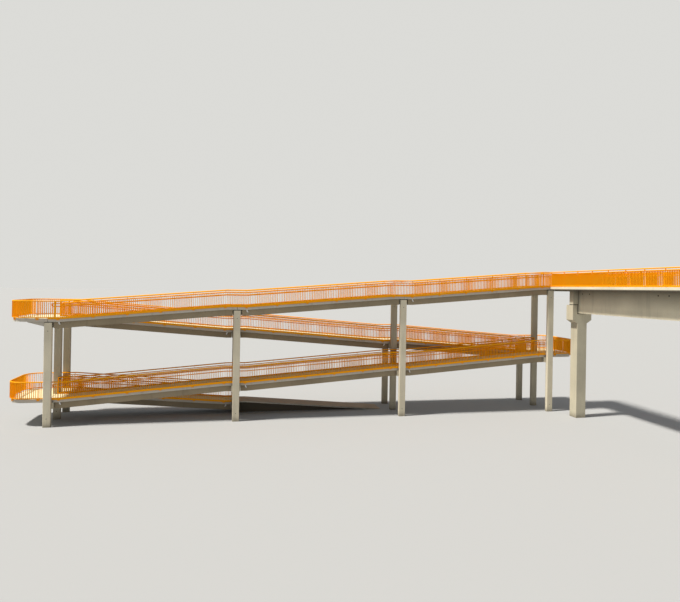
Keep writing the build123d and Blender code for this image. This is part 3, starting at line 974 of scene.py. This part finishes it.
class FOOTBRIDGE_OT_hand_loops(Operator):
    """Bent ends that join the two handrails of each flight"""

    bl_idname = "footbridge.hand_loops"
    bl_label = "Handrail loops"

    def execute(self, context):
        r = rails()
        finish = railing_paint()
        bend = (r.hand_high - r.hand_low) / 2
        middle = (r.hand_high + r.hand_low) / 2
        for rail in all_railings():
            if not rail.name.startswith("flight"):
                continue
            loops = Shapes()
            flight = int(rail.name.split("_")[1])
            last = frame_x(1 if flight == 1 else FRAMES - 1)
            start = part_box("rail_" + rail.name)[0].x
            for x, way in ((r.hand_start, math.pi), (last - r.hand_start, 0.0)):
                point, angle = rail.at(x - start)
                out = rail.outward(angle)
                inward = point - circle_point(r.axis + r.hand_in, out)
                inward.z = floor_at(flight, x) + middle
                place = facing(inward, way)
                loops.loop(
                    bend, r.hand, -math.pi / 2, math.pi / 2, LOOP_STEPS, LOOP_SIDES, place)
            loops.piece("loops_" + rail.name, finish, smooth=True)
        return {"FINISHED"}


class FOOTBRIDGE_OT_bolts(Operator):
    """Bolts of the railing brackets and base plates"""

    bl_idname = "footbridge.bolts"
    bl_label = "Bolts"

    def execute(self, context):
        r = rails()
        reach = r.base / 2 - BOLT_EDGE
        lying = Matrix.Rotation(math.pi / 2, 4, "Y")
        for rail in all_railings():
            if rail.hung:
                spots = [
                    Matrix.Translation((r.plate - r.axis, y, z)) @ lying
                    for z, apart in BRACKET_BOLTS for y in (-apart, apart)
                ]
            else:
                spots = [
                    Matrix.Translation((x, y, r.base_t))
                    for x in (-reach, reach) for y in (-reach, reach)
                ]
            heads = Shapes()
            for s, width in rail.posts:
                if rail.hung and width > 2 * r.post:
                    continue
                point, angle = rail.at(s)
                local = facing(point, rail.outward(angle))
                for spot in spots:
                    heads.prism(r.bolt, BOLT_HEAD, BOLT_SIDES, local @ spot)
            heads.piece("bolts_" + rail.name, bolt_steel())
        return {"FINISHED"}


class FOOTBRIDGE_OT_drains(Operator):
    """White drain spouts"""

    bl_idname = "footbridge.drains"
    bl_label = "Drains"

    def execute(self, context):
        dress("drain_spouts", plain("drain_plastic", tones().pipe, 0.45))
        return {"FINISHED"}


class FOOTBRIDGE_OT_bearings(Operator):
    """Black mats around the bearing pads on the column heads, spread nearly over the whole head as
    painted shade of the bearing gap
    """

    bl_idname = "footbridge.bearings"
    bl_label = "Bearings"

    def execute(self, context):
        s = lay()
        # Painted shade: black sheets fill the bearing gap so that it reads dark
        mats = Shapes()
        half_x = s.column_x / 2 - MAT_INSET
        half_y = s.column_y / 2 - MAT_INSET
        slab_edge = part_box("flight_4_span_1")[1].y
        for i in range(FRAMES):
            for row in range(ROWS):
                x = frame_x(i)
                y = s.row * row
                z = column_head(i, row)
                far = min(y + half_y, slab_edge) if row == MIDDLE_ROW else y + half_y
                mats.box(
                    (x - half_x, y - half_y, z + MAT_GAP),
                    (x + half_x, far, z + s.pad - MAT_GAP),
                )
        mats.piece("bearing_mats", black_rubber())
        return {"FINISHED"}


class FOOTBRIDGE_OT_joint_seals(Operator):
    """Rubber seals between the slabs, bed joints under the stubs, and a black strip under the
    girder as painted shade of its bearing gap
    """

    bl_idname = "footbridge.joint_seals"
    bl_label = "Joint seals"

    def execute(self, context):
        s = lay()
        seals = Shapes()
        half = s.joint / 2 - SEAL_GAP
        for flight, levels in STEPS.items():
            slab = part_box("flight_1_span" if flight == 1 else "flight_{}_span_1".format(flight))
            near = slab[0].y + SEAL_INSET
            far = slab[1].y - SEAL_INSET
            for i in range(2 if flight == 1 else FRAMES):
                z = s.rise * levels[i]
                x = frame_x(i)
                seals.box((x - half, near, z - SEAL_FOOT), (x + half, far, z - SEAL_TOP))
        seals.piece("joint_seals", black_rubber())

        beds_and_shade = Shapes()
        left, right = (corner.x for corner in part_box("link_beams"))
        foot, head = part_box("main_girder")
        ledge = foot.z - s.pad
        seat = ledge + s.cheek
        for name in ("main_pier_1", "main_pier_2"):
            low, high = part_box(name)
            y = (low.y + high.y) / 2
            y0 = low.y - BED_PROUD
            y1 = low.y + s.stub_y + BED_PROUD
            for x0, x1 in ((left, left + s.stub_x), (right - s.stub_x, right)):
                beds_and_shade.box((x0 - BED_PROUD, y0, seat), (x1 + BED_PROUD, y1, seat + s.bed))
            # Painted shade: a black strip fills the girder's bearing gap around its pads
            beds_and_shade.box(
                (foot.x - BED_PROUD, y - GIRDER_SHADE_STRIP, ledge + GIRDER_SHADE_STRIP_GAP),
                (head.x + BED_PROUD, y + GIRDER_SHADE_STRIP, foot.z - GIRDER_SHADE_STRIP_GAP),
            )
        beds_and_shade.piece("stub_bed_joints", black_rubber())
        return {"FINISHED"}


class FOOTBRIDGE_OT_form_marks(Operator):
    """Plugged tie holes of the column forms, and lifting holes of the girder drawn as black discs
    of painted shade
    """

    bl_idname = "footbridge.form_marks"
    bl_label = "Form marks"

    def execute(self, context):
        s = lay()
        mortar = plain("tie_mortar", scaled(tones().column, TIE_TONE), 0.95)
        plugs = Shapes()
        for i in range(FRAMES):
            for row in range(ROWS):
                head = column_head(i, row)
                for z in (TIE_FROM_END, head - TIE_FROM_END):
                    for side in (-1, 1):
                        y = s.row * row + side * s.column_y / 2
                        turn = Matrix.Rotation(-side * math.pi / 2, 4, "X")
                        place = Matrix.Translation((frame_x(i), y, z)) @ turn
                        plugs.prism(TIE_RADIUS, MARK_DEPTH, TIE_SIDES, place)
        plugs.piece("column_tie_marks", mortar)

        # Painted shade: each lifting hole is a flat black disc standing for the dark inside of the
        # hole
        holes = Shapes()
        low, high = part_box("main_girder")
        middle = (low.y + high.y) / 2
        inner = HOLE_FROM_END + HOLE_PAIR
        along = (
            high.y - HOLE_FROM_END, high.y - inner,
            middle, middle - MIDDLE_PAIR,
            low.y + HOLE_FROM_END, low.y + inner,
        )
        z = high.z - HOLE_FROM_TOP
        for y in along:
            for x, side in ((low.x, -1), (high.x, 1)):
                turn = Matrix.Rotation(side * math.pi / 2, 4, "Y")
                place = Matrix.Translation((x, y, z)) @ turn
                holes.prism(HOLE_RADIUS, MARK_DEPTH, HOLE_SIDES, place)
        holes.piece("girder_lifting_holes", black_rubber())
        return {"FINISHED"}


class FOOTBRIDGE_PT_panel(Panel):
    """Lists the steps that dress the bridge"""

    bl_idname = "FOOTBRIDGE_PT_panel"
    bl_label = "Footbridge"
    bl_space_type = "VIEW_3D"
    bl_region_type = "UI"
    bl_category = "Footbridge"

    def draw(self, context):
        for step in STEPS_IN_ORDER:
            self.layout.operator(step.bl_idname)


class FootbridgeSettings(PropertyGroup):
    """All settings of the bridge."""

    layout: PointerProperty(type=LayoutSizes)
    railing: PointerProperty(type=RailingSizes)
    finish: PointerProperty(type=Finishes)
    stage: PointerProperty(type=StageSettings)


STEPS_IN_ORDER = (
    FOOTBRIDGE_OT_stage,
    FOOTBRIDGE_OT_concrete,
    FOOTBRIDGE_OT_railings,
    FOOTBRIDGE_OT_hand_loops,
    FOOTBRIDGE_OT_bolts,
    FOOTBRIDGE_OT_drains,
    FOOTBRIDGE_OT_bearings,
    FOOTBRIDGE_OT_joint_seals,
    FOOTBRIDGE_OT_form_marks,
)
GROUPS = (LayoutSizes, RailingSizes, Finishes, StageSettings, FootbridgeSettings)


def register():
    """Adds the classes and the settings."""
    for item in GROUPS + STEPS_IN_ORDER + (FOOTBRIDGE_PT_panel,):
        bpy.utils.register_class(item)
    bpy.types.Scene.footbridge = PointerProperty(type=FootbridgeSettings)


def unregister():
    """Takes them away again."""
    del bpy.types.Scene.footbridge
    for item in reversed(GROUPS + STEPS_IN_ORDER + (FOOTBRIDGE_PT_panel,)):
        bpy.utils.unregister_class(item)


def main():
    """Builds the whole visual model."""
    register()
    for step in STEPS_IN_ORDER:
        group, name = step.bl_idname.split(".")
        getattr(getattr(bpy.ops, group), name)()
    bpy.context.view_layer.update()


if __name__ == "__main__":
    main()
